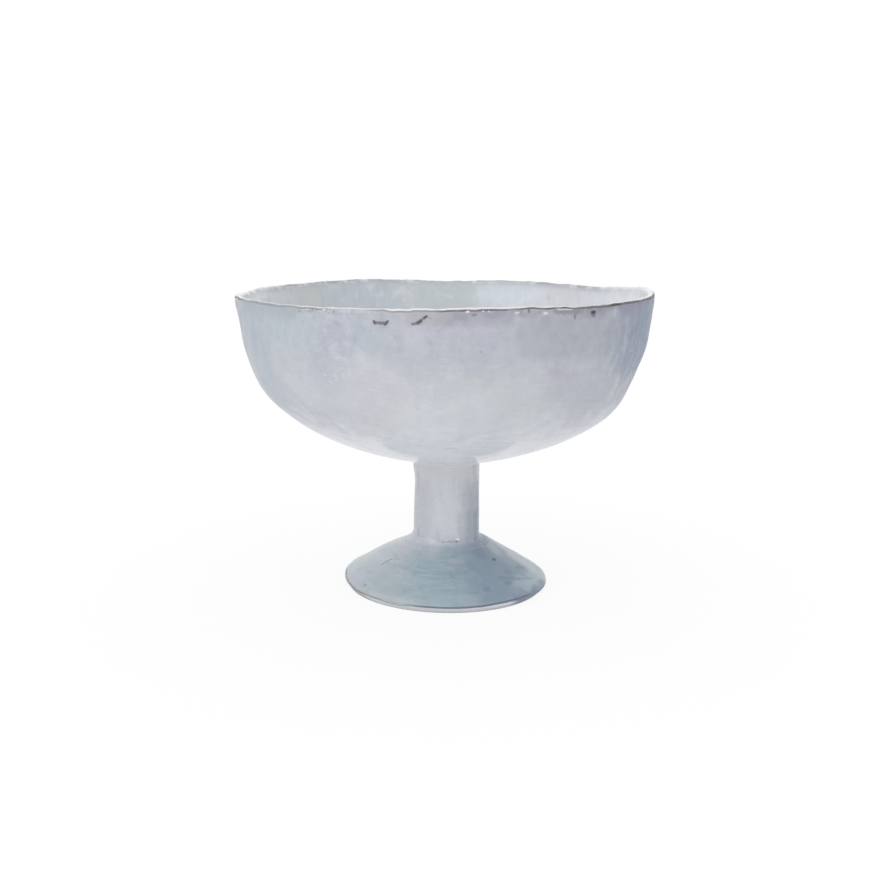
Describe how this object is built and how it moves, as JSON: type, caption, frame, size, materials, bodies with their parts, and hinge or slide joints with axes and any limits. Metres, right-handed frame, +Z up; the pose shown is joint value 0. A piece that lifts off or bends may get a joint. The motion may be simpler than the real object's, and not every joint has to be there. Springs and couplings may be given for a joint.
{
  "type": "footed compote bowl",
  "caption": "Hand-formed glazed clay bowl with an uneven lip, on a short hollow stem and a flared hollow foot.",
  "frame": {"origin": "centre of the rest ring, on the surface that the foot stands on", "axes": "+Z up along the stem; +X to the right seen from the front; +Y to the back"},
  "size_m": [0.251, 0.2506, 0.1855],
  "materials": {
    "bowl_glaze": "milky crackled gloss glaze over dark clay",
    "stem_glaze": "milky gloss glaze with lavender streaks",
    "foot_glaze": "thin blue-grey gloss glaze, with a bare rest ring",
    "joint_glaze": "slip smoothed by hand under the same glaze"
  },
  "bodies": {
    "root": {"bowl": "bowl_glaze", "upper_slip_joint": "joint_glaze", "stem": "stem_glaze", "lower_slip_joint": "joint_glaze", "foot": "foot_glaze"}
  },
  "joints": []
}
